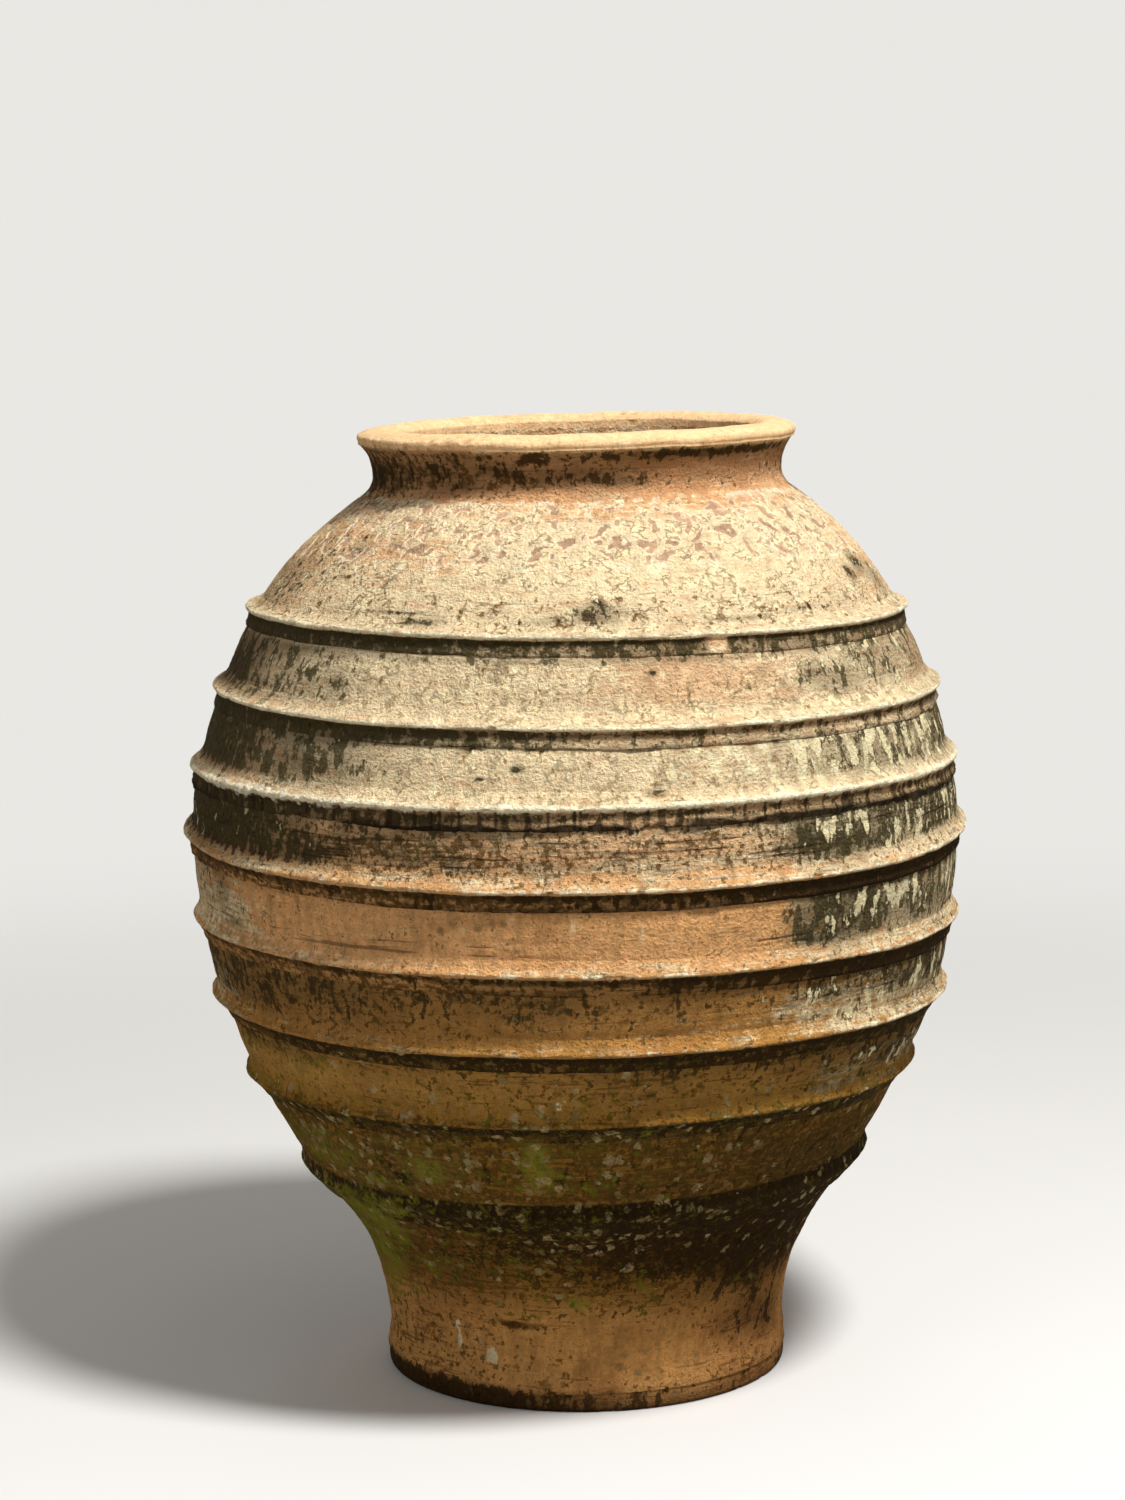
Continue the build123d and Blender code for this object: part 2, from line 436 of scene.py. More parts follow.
baseMarks = {
    "slip": (
        (-78, 770, 22, 60, 30), (-74, 690, 26, 40, 15), (-68, 612, 34, 30, 5), (-75, 880, 22, 50, 35),
        (-35, 925, 26, 9, 95), (-46, 884, 20, 24, 46), (-12, 895, 14, 16, 95), (10, 890, 20, 22, 100),
        (45, 905, 30, 18, 95), (26, 870, 2, 3, 100), (-30, 884, 8, 12, 50), (15, 924, 60, 6, 55),
        (20, 770, 15, 26, 20), (40, 955, 60, 14, 10), (5, 690, 30, 20, 85), (15, 598, 36, 6, 70),
        (32, 612, 8, 14, 65), (75, 442, 46, 28, 80, 6), (75, 530, 45, 40, 92, 16),
        (75, 610, 46, 36, 92, 12), (72, 366, 34, 30, 55, 6), (0, 938, 400, 4, 20), (60, 955, 22, 20, 28),
    ),
    "grimeAndShade": (
        (-65, 955, 18, 18, 66), (-38, 963, 8, 9, 60), (-20, 966, 7, 9, 70), (-33, 950, 8, 7, 60),
        (0, 957, 16, 10, 70), (11, 952, 9, 6, 75), (38, 957, 7, 6, 45), (63, 955, 6, 7, 45),
        # the thin marks at 979 and 978 mm, just under the lip, are mostly painted shade, with some dirt
        (-84, 944, 12, 26, 75), (45, 979, 45, 5, 85), (-20, 978, 30, 4, 55), (-72, 852, 18, 40, 46),
        (-52, 885, 3, 16, 45), (-27, 824, 5, 4, 80), (-33, 832, 7, 2, 70), (3, 831, 5, 11, 78),
        (4, 842, 1.5, 4, 80), (30, 823, 6, 3, 60), (46, 827, 9, 3, 50), (64, 852, 2, 9, 75),
        (70, 860, 3, 13, 65), (76, 842, 4, 22, 50), (-5, 826, 5, 4, 50), (0, 790, 400, 4, 45),
        (-78, 765, 26, 40, 84), (-52, 768, 13, 22, 56), (-41, 762, 3, 13, 50), (41, 765, 3, 14, 60),
        (47, 755, 4, 14, 70), (64, 770, 20, 26, 60), (12, 778, 0.8, 2.5, 100), (-60, 745, 14, 5, 50),
        (0, 712, 400, 4, 35), (-76, 690, 30, 44, 100), (-45, 696, 15, 26, 74), (54, 693, 24, 32, 70),
        (43, 718, 6, 6, 70), (-8.5, 692, 1.2, 4, 100), (-14, 682, 0.7, 2, 100), (11, 667, 1.4, 4, 80),
        (-2.5, 661, 1.6, 4, 100), (0, 634, 400, 5, 40), (-70, 612, 40, 38, 100), (-32, 620, 16, 16, 50),
        (75, 614, 46, 28, 80, 20), (50, 640, 30, 8, 70), (-38, 628, 2, 8, 10), (0, 560, 400, 5, 30),
        (75, 535, 45, 36, 78, 20), (36, 530, 6, 28, 80), (46, 545, 6, 22, 80), (62, 540, 5, 26, 75),
        (-64, 545, 3, 16, 36), (-60, 514, 2.5, 5, 60), (-77, 545, 9, 26, 30), (50, 566, 25, 5, 85),
        (0, 474, 400, 5, 40), (-72, 455, 28, 30, 68), (-40, 464, 20, 20, 58), (-8, 464, 22, 18, 42),
        (50, 460, 22, 14, 68), (70, 450, 22, 30, 76), (50, 430, 22, 8, 30), (-40, 400, 20, 5, 75),
        (-22, 400, 4, 6, 80), (30, 392, 30, 12, 50), (66, 376, 22, 28, 70), (-45, 364, 22, 14, 12),
        (-62, 388, 14, 10, 60), (30, 342, 40, 6, 5), (0, 318, 400, 5, 40), (-48, 282, 26, 34, 46),
        (-35, 262, 3, 7, 80), (-21, 280, 5, 26, 40), (35, 275, 20, 30, 35), (62, 262, 14, 34, 55),
        # from (0, 212) to (62, 160): the foot's upper part under the belly, dark with dirt and painted
        # shade
        (30, 240, 40, 5, 10), (0, 212, 400, 8, 85), (0, 195, 26, 28, 78), (30, 172, 24, 40, 90),
        (46, 165, 14, 46, 100), (62, 160, 14, 46, 95), (-36, 190, 14, 20, 45), (52, 84, 9, 26, 55),
        # the two marks at 10 mm darken the foot's base with dirt and painted shade, the left one most
        (64, 74, 8, 28, 55), (-20, 92, 4, 3, 50), (20, 130, 14, 20, 40), (-55, 10, 40, 14, 100),
        (45, 10, 36, 14, 30),
    ),
    "umberAndShade": (
        (-60, 870, 18, 40, 36), (-70, 950, 24, 24, 80), (-30, 955, 24, 16, 60), (45, 955, 30, 20, 10),
        (-55, 62, 36, 40, 44), (-20, 92, 5, 4, 100), (-14, 90, 4, 2, 90), (30, 190, 30, 30, 80),
        (45, 280, 20, 40, 75), (-70, 545, 14, 30, 35), (-24, 612, 22, 18, 70), (45, 100, 14, 30, 30),
        (-45, 368, 22, 14, 15), (-40, 450, 30, 24, 50), (0, 442, 30, 16, 30), (30, 432, 30, 14, 10),
        (55, 60, 14, 30, 35), (15, 60, 18, 26, 2), (10, 615, 20, 10, 50),
    ),
    "moss": (
        (-53, 200, 12, 30, 95), (-66, 150, 14, 42, 90), (-70, 110, 8, 28, 70), (-28, 274, 6, 16, 85),
        (-30, 302, 6, 8, 50), (-8, 292, 2.6, 26, 95), (-9, 262, 4, 6, 70), (-2, 118, 3, 9, 90),
        (-44, 224, 8, 8, 70), (15, 130, 3, 24, 40), (-58, 272, 13, 22, 60), (-72, 330, 10, 12, 60),
        (-14, 110, 12, 10, 25), (-45, 250, 14, 6, 50), (-40, 150, 12, 24, 40), (40, 200, 30, 60, 5),
        (45, 285, 25, 30, 12), (-50, 380, 20, 14, 25),
    ),
    "rosettes": (
        (-1, 195, 10, 26, 90), (12, 190, 8, 24, 60), (-45, 290, 18, 28, 75), (-20, 275, 12, 26, 60),
        (30, 150, 30, 50, 4), (45, 280, 26, 40, 6), (47, 195, 4, 8, 40), (-30, 330, 16, 8, 30),
    ),
    "flakes": (
        (47, 622, 12, 12, 60), (57, 608, 8, 14, 50), (25, 690, 14, 28, 55), (40, 690, 12, 30, 55),
        (60, 695, 22, 30, 55), (50, 538, 12, 28, 50), (78, 536, 24, 30, 54), (82, 610, 22, 24, 52),
        (-38, 643, 1.2, 6, 100), (60, 765, 16, 26, 40), (-70, 700, 30, 70, 0), (62, 452, 26, 26, 52),
        (70, 366, 22, 22, 44), (-4, 365, 2, 20, 40), (-28, 54, 3.5, 9, 85), (-38, 72, 0.9, 18, 80),
        (10, 860, 30, 30, 30),
    ),
}
# percent of grime and painted shade on the skirt of each band at these angles, from the foot up
skirtAngles = (-180, -70, -20, 10, 45, 120)
skirtGrimeAndShade = (
    (80, 60, 85, 95, 100, 80), (50, 50, 55, 60, 70, 50), (60, 50, 70, 70, 80, 60),
    (50, 20, 26, 50, 100, 70), (50, 25, 40, 55, 100, 70), (90, 100, 75, 36, 50, 70),
    (90, 100, 72, 34, 28, 70), (90, 95, 75, 60, 60, 80),
)
# by height: umber and painted shade on the skirts, bleaching of the crests, slip on the ledges and slip
# inside the mouth
skirtUmberAndShade = ((230, 400, 500, 580, 660, 820), (0.9, 0.65, 0.5, 0.7, 0.2, 0.4))
crestBleach = ((230, 334, 412, 492, 579, 655, 813), (0.15, 0.3, 0.5, 0.65, 0.8, 0.95, 1.0))
ledgeSlip = ((230, 400, 500, 650, 1000), (0.1, 0.35, 0.55, 0.8, 0.85))
innerSlip = ((880, 930, 960), (0.0, 0.3, 0.5))
# the low crests carry painted shade at the left, where less of their bleaching shows; a stretch of the top
# skirt is clean; slip has run down the right
shadedCrestAngles, shadedCrestShares = (-180, -75, -40, -10, 100, 150), (0.5, 0.25, 0.35, 1.0, 1.0, 0.6)
shadedCrestHeights = (560, 640)
cleanSkirt = (23.5, 803, 2, 12)  # angle, height and half of its sizes
slipRun = {"angle": 70, "halfWidth": 36, "heights": (380, 410), "onLedge": 0.8, "onCrest": 0.95}
# shares of each layer gained or lost on the parts of a band; under a crest they add painted shade as well
# as dirt
bandWeather = {
    "underShadeGrime": 0.25, "underShadeUmber": 0.3, "skirtSlip": 0.25, "underShadeSlip": 0.5, "skirtFlakes": 0.8,
    "ledgeSlip": 0.7, "ledgeGrime": 0.6, "crestGrime": 0.8,
}
ledgeRise, ledgeReach = 6, 7  # millimetres above a band's middle, and half its height
insideClean = 0.85  # the inside is hardly stained
fallOff = 2.6  # how sharply a mark ends
# how strongly the front's marks show again on the back, and how they are shifted: degrees, millimetres
backShare, backTurn, backDrift = 0.85, (160, 200), 6


def layerAmount(layer, angle, height, random):
    # the base amount by height, drawn towards each mark's amount, first at the back
    heights, amounts = zip(*baseAmounts[layer])
    total = np.interp(height, heights, np.array(amounts) / 100)
    repeats = [(centre + random.uniform(*backTurn), level + random.uniform(-backDrift, backDrift), *rest)
               for centre, level, *rest in baseMarks[layer]]
    for share, marks in ((backShare, repeats), (1.0, baseMarks[layer])):
        for centre, level, halfWidth, halfHeight, percent, *power in marks:
            across = ((angle - centre + 180) % 360 - 180) / halfWidth
            over = (height - level) / halfHeight
            reach = np.abs(across) ** (power[0] if power else fallOff) + np.abs(over) ** fallOff
            total = total + (percent / 100 - total) * share * np.exp(-reach)
    return total


def paintWeather(mesh, skirtGrimeShadePercents):
    # puts the amounts on the points, as two vector attributes that the clay shaders read
    count = len(mesh.vertices)
    places = np.empty(count * 3)
    mesh.vertices.foreach_get("co", places)
    x, y, z = places.reshape(-1, 3).T
    columns = {}
    for name in ("zones", "wear"):
        values = np.empty(count * 3)
        mesh.attributes[name].data.foreach_get("vector", values)
        columns[name] = values.reshape(-1, 3).T
    skin, crest, _ = columns["zones"]
    # one on a skirt, and up to two on the strip just under its crest, which gets dirt and painted shade
    skirt, under = np.minimum(columns["wear"][2], 1), np.maximum(columns["wear"][2] - 1, 0)
    angle = np.degrees(np.arctan2(x, -y))
    height = z / millimetre
    random = np.random.default_rng(11)
    amount = {layer: layerAmount(layer, angle, height, random) for layer in baseAmounts}
    # skirts hold dirt and painted shade; ledges and crests are washed clean and bleached, the more the
    # higher they are
    skirtDirtAndShade = np.interp(angle, skirtAngles, np.array(skirtGrimeShadePercents) / 100, period=360)
    amount["grimeAndShade"] += (skirtDirtAndShade - amount["grimeAndShade"]) * skirt
    amount["umberAndShade"] += (np.interp(height, *skirtUmberAndShade) - amount["umberAndShade"]) * skirt
    share = bandWeather
    # the strip just under each crest: more grime and umber and less slip, painted shade as well as dirt
    amount["grimeAndShade"] += share["underShadeGrime"] * under
    amount["umberAndShade"] += share["underShadeUmber"] * under
    amount["slip"] *= 1 - share["skirtSlip"] * skirt - share["underShadeSlip"] * under
    amount["flakes"] *= 1 - share["skirtFlakes"] * skirt
    centre, level, halfWidth, halfHeight = cleanSkirt
    clean = np.exp(-((angle - centre) / halfWidth) ** 4 - ((height - level) / halfHeight) ** 4)
    amount["grimeAndShade"] *= 1 - clean
    amount["umberAndShade"] *= 1 - clean
    across = (angle - slipRun["angle"]) / slipRun["halfWidth"]
    runSide = np.exp(-across ** 4) * np.interp(height, slipRun["heights"], (0, 1))
    for box in bandBoxes:
        crestHeight = (box[0].z + box[1].z) / 2 / millimetre
        over = (height - crestHeight - ledgeRise) / ledgeReach
        ledge = np.exp(-over ** 2) * (1 - skirt)
        pale = np.interp(height, *ledgeSlip)
        pale += (1 - pale) * slipRun["onLedge"] * runSide
        amount["slip"] += (pale - amount["slip"]) * ledge * share["ledgeSlip"]
        amount["grimeAndShade"] *= 1 - share["ledgeGrime"] * ledge
    amount["grimeAndShade"] *= 1 - share["crestGrime"] * crest
    # painted shade: below 560 mm, fading out by 640 mm, the crests keep less of their bleaching at the
    # left and the back
    crestShadeFactor = np.interp(angle, shadedCrestAngles, shadedCrestShares, period=360)
    crestShadeFactor += (1 - crestShadeFactor) * np.interp(height, shadedCrestHeights, (0, 1))
    crestBleachAndShade = crest * np.maximum(np.interp(height, *crestBleach), slipRun["onCrest"] * runSide) * crestShadeFactor
    mesh.attributes.new("crestBleachAndShade", "FLOAT", "POINT").data.foreach_set("value", crestBleachAndShade)
    # the inner faces carry half a skin
    inside = np.where((skin < 0.75) & (skin > 0.25), 1.0, 0.0)
    amount["slip"] += (np.interp(height, *innerSlip) - amount["slip"]) * inside
    for layer in ("grimeAndShade", "umberAndShade", "moss", "rosettes", "flakes"):
        amount[layer] *= 1 - insideClean * inside
    vectors = {"stainsAndShade": ("slip", "grimeAndShade", "umberAndShade"), "growth": ("moss", "rosettes", "flakes")}
    for name, layers in vectors.items():
        values = np.stack([np.clip(amount[layer], 0, 1) for layer in layers], axis=1)
        mesh.attributes.new(name, "FLOAT_VECTOR", "POINT").data.foreach_set("vector", values.ravel())


# Clay shaders

# the first stop darkens the lowest 25 mm with dirt and painted shade where the foot meets the floor
clayByHeight = (
    (0.0, "#7A5634"), (0.025, "#E4A864"), (0.10, "#D69C58"), (0.14, "#AE7E38"), (0.33, "#AC7E34"),
    (0.36, "#C09048"), (0.42, "#C8924E"), (0.47, "#C89252"), (0.50, "#F2B87C"), (0.57, "#EEB274"),
    (0.60, "#ECBC88"), (0.70, "#ECC496"), (0.80, "#EEC89C"), (0.88, "#F4C694"), (0.935, "#E8B280"),
    (0.965, "#C08E64"), (0.985, "#D8AA78"), (1.0, "#E8C294"),
)
# cycles a metre round the jar and up it, detail and roughness: clouds are 125 mm wide, mottle 25 mm,
# specks 7 mm; grains of sand, under a millimetre, are drawn 3 mm wide so that they show
clayNoises = {
    "clouds": (8, 8, 5, 0.6), "mottle": (40, 52, 7, 0.68), "specks": (150, 150, 5, 0.62),
    "grain": (340, 340, 3, 0.6), "streaks": (18, 240, 4, 0.6), "drips": (90, 32, 6, 0.64),
    "blots": (72, 36, 4, 0.55),
}


def weatheredClay(name, look):
    material = bpy.data.materials.new(name)
    add = emptyTree(material)
    place = add("TexCoord").outputs["Object"]
    height = add("SeparateXYZ", [place]).outputs["Z"]
    read = {}
    for attribute in ("stainsAndShade", "growth"):
        node = add("Attribute", attribute_name=attribute)
        read[attribute] = add("SeparateXYZ", [node.outputs["Vector"]]).outputs
    for attribute in ("relief", "marked", "crust", "opened", "crestBleachAndShade"):
        read[attribute] = add("Attribute", attribute_name=attribute).outputs["Fac"]

    # noises, spread out so that they fill nought to one
    noise = {}
    for key, (across, up, detail, roughness) in clayNoises.items():
        scaled = add("VectorMath", [place, (across, across, up)], "MULTIPLY")
        raw = add("TexNoise", [scaled, 1.0, detail, roughness])
        noise[key] = add("MapRange", [raw, 0.3, 0.7])
    blends = {
        "fleck": ("mottle", "specks", 0.4), "runny": ("fleck", "drips", 0.5),
        "lined": ("fleck", "streaks", 0.45), "blotted": ("runny", "blots", 0.4),
    }
    for key, (first, second, share) in blends.items():
        noise[key] = add("Mix", [share, noise[first], noise[second]])

    # a crackle of fine dark lines, broken up
    ragged = add("TexNoise", [place, 120.0, 3.0]).outputs["Color"]
    nudged = add("VectorMath", [ragged, 14 * millimetre], "SCALE")
    nudged = add("VectorMath", [place, nudged], "ADD")
    stretched = add("VectorMath", [nudged, look["plates"]], "MULTIPLY")
    plates = add("TexVoronoi", [stretched, 1.0], feature="DISTANCE_TO_EDGE")
    cracks = add("MapRange", [plates, look["crackEdge"], 0.03])
    broken = add("MapRange", [noise["mottle"], 0.4, 0.65])
    noise["crackle"] = add("Math", [cracks, broken], "MULTIPLY")

    # bare clay: a colour by height, here and there ruddier
    ramp = add("ValToRGB", [height])
    stops = ramp.color_ramp.elements
    while len(stops) < len(clayByHeight):
        stops.new(0.5)
    for stop, (level, tint) in zip(stops, clayByHeight):
        stop.position = level
        stop.color = hexColour(tint)
    ruddy = add("MapRange", [noise["clouds"], 0.5, 0.9, 0.0, 0.4])
    colour = add("Mix", [ruddy, ramp, look["ruddy"]], data_type="RGBA")

    # layers over it, each from a painted amount whose edges a noise breaks up: amount, noise, break-up,
    # where it starts, where it is full, strength, and two tints, or four with brown ones for low down
    # grime and umber are stains, and on the skirts, under the crests and on the foot also painted shade
    slip, grimeAndShade, umberAndShade = (read["stainsAndShade"][axis] for axis in "XYZ")
    moss, rosettes, flakes = (read["growth"][axis] for axis in "XYZ")
    layers = (
        (slip, "lined", 1.8, 0.36, 0.74, 0.9, look["slip"]),
        (slip, "crackle", 2.0, 0.3, 1.3, look["crackShare"], look["cracks"]),
        (umberAndShade, "fleck", 1.9, 0.42, 0.8, 0.65, look["umberAndShade"]),
        (umberAndShade, "streaks", 1.5, 0.62, 0.85, 0.55, look["umberAndShade"]),
        (umberAndShade, "specks", 1.7, 0.6, 0.76, 0.75, look["umberAndShade"]),
        (0.24, "grain", 1.2, 0.5, 0.75, 0.5, look["pin"]),
        (grimeAndShade, "clouds", 0.5, 0.1, 0.95, 0.75, look["wash"]),
        (grimeAndShade, "runny", 2.1, 0.5, 0.72, 0.88, look["grimeAndShade"]),
        (moss, "fleck", 1.7, 0.34, 0.8, 0.75, look["moss"]),
        (moss, "specks", 1.5, 0.6, 0.8, 0.5, look["sprigs"]),
        (flakes, "blotted", 2.3, 0.56, 0.68, 0.9, look["flakes"]),
    )
    brown = add("MapRange", [height, look["brownBelow"] + 0.05, look["brownBelow"] - 0.05])
    for amount, key, breakUp, start, full, strength, tints in layers:
        offset = add("Math", [noise[key], 0.5], "SUBTRACT")
        total = add("Math", [offset, breakUp, amount], "MULTIPLY_ADD")
        mask = add("MapRange", [total, start, full, 0.0, strength])
        present = add("Math", [amount, 6.0], "MULTIPLY", use_clamp=True)  # no layer without an amount
        mask = add("Math", [mask, present], "MULTIPLY")
        varied = [add("Mix", [noise["specks"], first, second], data_type="RGBA")
                  for first, second in zip(tints[::2], tints[1::2])]
        if len(varied) > 1:
            varied = [add("Mix", [brown, *varied], data_type="RGBA")]
        colour = add("Mix", [mask, colour, varied[0]], data_type="RGBA")

    # lichen rosettes: discs of many sizes, 10 mm apart, with ragged rims
    discs = add("TexVoronoi", [nudged, 100.0])
    fate = add("SeparateXYZ", [discs.outputs["Color"]]).outputs
    chosen = add("Math", [fate["X"], rosettes], "LESS_THAN")
    rim = discs.outputs["Distance"]
    for rough in (fate["Y"], noise["specks"]):
        rim = add("Math", [rough, 0.3, rim], "MULTIPLY_ADD")
    disc = add("MapRange", [rim, 0.8, 0.66])
    eaten = add("MapRange", [noise["specks"], 0.25, 0.55, 0.25, 0.9])
    mask = disc
    for factor in (chosen, eaten):
        mask = add("Math", [mask, factor], "MULTIPLY")
    varied = add("Mix", [fate["Z"], *look["rosettes"]], data_type="RGBA")
    colour = add("Mix", [mask, colour, varied], data_type="RGBA")

    # bleached crests, painted shade on the low ones at the left, lime crust, dirt in cut marks and in
    # opened
    # seams, dirt and painted shade in hollows: what shows it, where it starts, where it is full, strength
    # and tint
    broken = add("Math", [noise["fleck"], 0.5], "SUBTRACT")
    crest = add("Math", [broken, 1.1, read["crestBleachAndShade"]], "MULTIPLY_ADD")
    edges = (
        (crest, 0.5, 0.85, 0.9, look["bleached"]),
        (read["crust"], 0.08, 0.25, 0.9, "#E4DBC4"),
        (read["marked"], 0.05, 0.25, look["rimShare"], look["bleached"]),
        (read["marked"], look["markEdge"], look["markEdge"] + 0.35, look["markShare"], look["marked"]),
        (read["opened"], 0.0008, 0.003, 0.9, "#241B12"),
        # every hollow cut in by more than 0.8 mm darkens: dirt and painted shade
        (read["relief"], -0.0008, -0.002, 0.4, "#4A3420"),
    )
    for value, start, full, strength, tint in edges:
        mask = add("MapRange", [value, start, full, 0.0, strength])
        colour = add("Mix", [mask, colour, tint], data_type="RGBA")

    # darker and lighter by mottle, streak, speck and grain
    tones = {"mottle": 0.26, "streaks": 0.07, "drips": 0.26, "specks": 0.19, "grain": 0.15}
    for key, depth in tones.items():
        depth *= look["contrast"]
        tone = add("MapRange", [noise[key], 0.0, 1.0, 1 - depth, 1.02 + depth])
        colour = add("VectorMath", [colour, tone], "SCALE")

    smoothest, roughest = look["roughness"] - 0.08, look["roughness"] + 0.08
    roughness = add("MapRange", [noise["mottle"], 0.0, 1.0, smoothest, roughest])
    rugged = add("Math", [noise["fleck"], 1.6, noise["grain"]], "MULTIPLY_ADD")
    bump = add("Bump", {"Strength": look["bump"], "Distance": 1.6 * millimetre, "Height": rugged})
    shader = add("BsdfPrincipled", {"Base Color": colour, "Roughness": roughness,
                                    "Specular IOR Level": 0.04, "Normal": bump})
    add("OutputMaterial", {"Surface": shader})
    return material


# one look for all, changed for each kind of clay; plates are the crackle's cells a metre
commonLook = {
    "ruddy": "#C8824A", "slip": ("#FFEEC4", "#ECD0A2"), "cracks": ("#5E4424", "#86683C"),
    "umberAndShade": ("#36200A", "#6A4618"), "pin": ("#5C4226", "#7B5B38"), "wash": ("#56502F", "#3A3820"),
    "grimeAndShade": ("#241F0F", "#50472C", "#1C1309", "#443018"), "moss": ("#A0982E", "#6E6A1E"),
    "sprigs": ("#BCBA50", "#504E1A"), "rosettes": ("#7C6A38", "#C0AA7C"),
    "flakes": ("#FBF0C8", "#DCC998"), "bleached": "#FFF2CE", "marked": "#3F2C1B",
    "markShare": 0.55, "markEdge": 0.2, "rimShare": 0.0, "crackShare": 0.5, "crackEdge": 0.17,
    "plates": (78, 78, 60), "contrast": 0.8, "roughness": 0.88, "bump": 1.0, "brownBelow": 0.47,
}
# foot: terracotta, mossy and damp-stained, its darker wash also painted shade
footClay = weatheredClay("mossyTerracotta", {**commonLook, "wash": ("#46321A", "#2C1E0E")})
# walls: terracotta with worn slip, lichen and soot-dark grime
wallClay = weatheredClay("lichenedTerracotta", commonLook)
# shoulder and neck: cream slip that has spalled off pink clay
shoulderClay = weatheredClay("spalledSlipTerracotta", {
    **commonLook, "marked": "#DCA27C", "markShare": 0.65, "markEdge": 0.3, "rimShare": 0.7,
    "contrast": 0.6, "plates": (68, 68, 130), "crackEdge": 0.12, "crackShare": 0.6,
    "brownBelow": 1.1, "pin": ("#94704A", "#AE8A5E"),
})
# lip: bleached, rubbed smooth
rimClay = weatheredClay("bleachedTerracotta", {
    **commonLook, "slip": ("#FCD8A6", "#EFC08C"), "roughness": 0.8, "crackShare": 0.15,
    "contrast": 0.5, "bump": 0.4,
})
# bands: pinched clay with bleached, chipped crests
bandClay = weatheredClay("pinchedTerracotta", {
    **commonLook, "marked": "#33241A", "markShare": 0.7, "brownBelow": 0.63,
})
print("clay shaders built")


def turnClay(node, rows, sizes, material, skirtGrimeShadePercents=(0, 0, 0, 0, 0, 0)):
    # one clay piece: its outline goes through the tree, comes back as a plain mesh and replaces its node;
    # of its sizes, each depth, wander and gape is in millimetres
    outline = bpy.data.meshes.new(node + "Outline")
    points = np.array([row[0] for row in rows])
    heights = points[:, 1]
    outline.from_pydata([(radius, 0, height) for radius, height in points], [], [])
    lean = np.interp(heights / millimetre, leanHeights, leanRight) * millimetre
    lift = easeBetween(liftHeights, lifts, heights)
    outward = [(out[0], 0, out[1]) for _, out, _, _ in rows]
    wear = [(row[3][0], shift, row[3][1]) for row, shift in zip(rows, lean)]
    fields = {"outward": outward, "zones": [row[2] for row in rows], "lift": lift, "wear": wear}
    for name, values in fields.items():
        outline.attributes.new(name, "FLOAT_VECTOR", "POINT").data.foreach_set("vector", np.ravel(values))
    piece = bpy.data.objects.new("clay_" + node, outline)
    link(piece)
    modifier = piece.modifiers.new("thrownClay", "NODES")
    modifier.node_group = thrownClay
    modifier[identifiers["Clay"]] = material
    for name, size in sizes.items():
        lengthy = name.split()[-1] in ("Depth", "Wander", "Gape")
        modifier[identifiers[name]] = size * millimetre if lengthy else size
    mesh = bpy.data.meshes.new_from_object(piece.evaluated_get(bpy.context.evaluated_depsgraph_get()))
    piece.modifiers.clear()
    piece.data = mesh
    mesh.name = node
    bpy.data.meshes.remove(outline)
    paintWeather(mesh, skirtGrimeShadePercents)
    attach(piece, "root")
    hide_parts(node)
    return piece


# Thrown rings: foot, wall sections, shoulder and neck

ringSizes = {
    "Segments": 900, "Wander": 7, "Throwing Depth": 1.0,
    "Groove Depth": 1.6, "Lump Depth": 2.4, "Pit Depth": 1.8,
    "Mark Depth": 1.1, "Seed": 0.0,
}
ringStep = 1.1 * millimetre
hiddenStep = 9 * millimetre
cover = 2 * millimetre  # how far a band hides the wall inside its own edges
# a section is cut where it turns by more than these degrees
cornerTurns = {"ring": 24, "band": 40, "lip": 30}
# scored streaks on each wall: from and to, as shares of the way up between two bands, and how strong
scoredSpans = {3: (0.3, 0.5, 0.5), 4: (0.04, 0.22, 0.9), 5: (0.08, 0.75, 1.0), 7: (0.05, 0.25, 0.4)}
scoreFade = 0.08  # the share over which they fade out


def buildRing(node, material, changes, wearAt):
    runs = splitRuns(nodeSection(node), cornerTurns["ring"])
    # the way round goes up the outer face and down the inner one
    outer = max(range(len(runs)), key=lambda i: runs[i][-1][1] - runs[i][0][1])
    inner = min(range(len(runs)), key=lambda i: runs[i][-1][1] - runs[i][0][1])

    def describe(number, run):
        if number == outer:
            def keep(point, i):
                # few rows behind a band, and every row where a wall is scored
                covered = any(box[0].z + cover < point[1] < box[1].z - cover for box in bandBoxes)
                scored = wearAt(point[1]) > 0.01 and not changes
                return i % (8 if covered else 1 if scored else 2) == 0
            return ringStep, keep, lambda point: ((1.0, 0.0, 0.0), (wearAt(point[1]), 0.0))
        return hiddenStep, keepAll, evenZones(0.5 if number == inner else 0.0)

    return turnClay(node, layRows(runs, describe), {**ringSizes, **changes}, material)


pieces = [buildRing("foot_wall", footClay, {"Segments": 740}, lambda z: 0.0)]
for k, node in enumerate(wallNames, 1):
    low, high = bandBoxes[k - 1][1].z, bandBoxes[k][0].z
    first, last, strength = scoredSpans.get(k, (0.4, 0.6, 0.0))
    steps = [low + (high - low) * share for share in (first - scoreFade, first, last, last + scoreFade)]

    def scoreWear(z):
        return float(np.interp(z, steps, (0.0, strength, strength, 0.0)))

    pieces.append(buildRing(node, wallClay, {}, scoreWear))
# slip has spalled off the top of the shoulder, between these heights
spallHeights, spallAmounts = (0.868, 0.882, 0.928, 0.936), (0.0, 1.0, 1.0, 0.0)
spalledSizes = {"Spalled": 1.0, "Mark Depth": 1.9}
for node in ("shoulder_wall", "neck_collar"):
    pieces.append(buildRing(node, shoulderClay, spalledSizes,
                            lambda z: float(np.interp(z, spallHeights, spallAmounts))))
print("thrown rings built")


# Bands

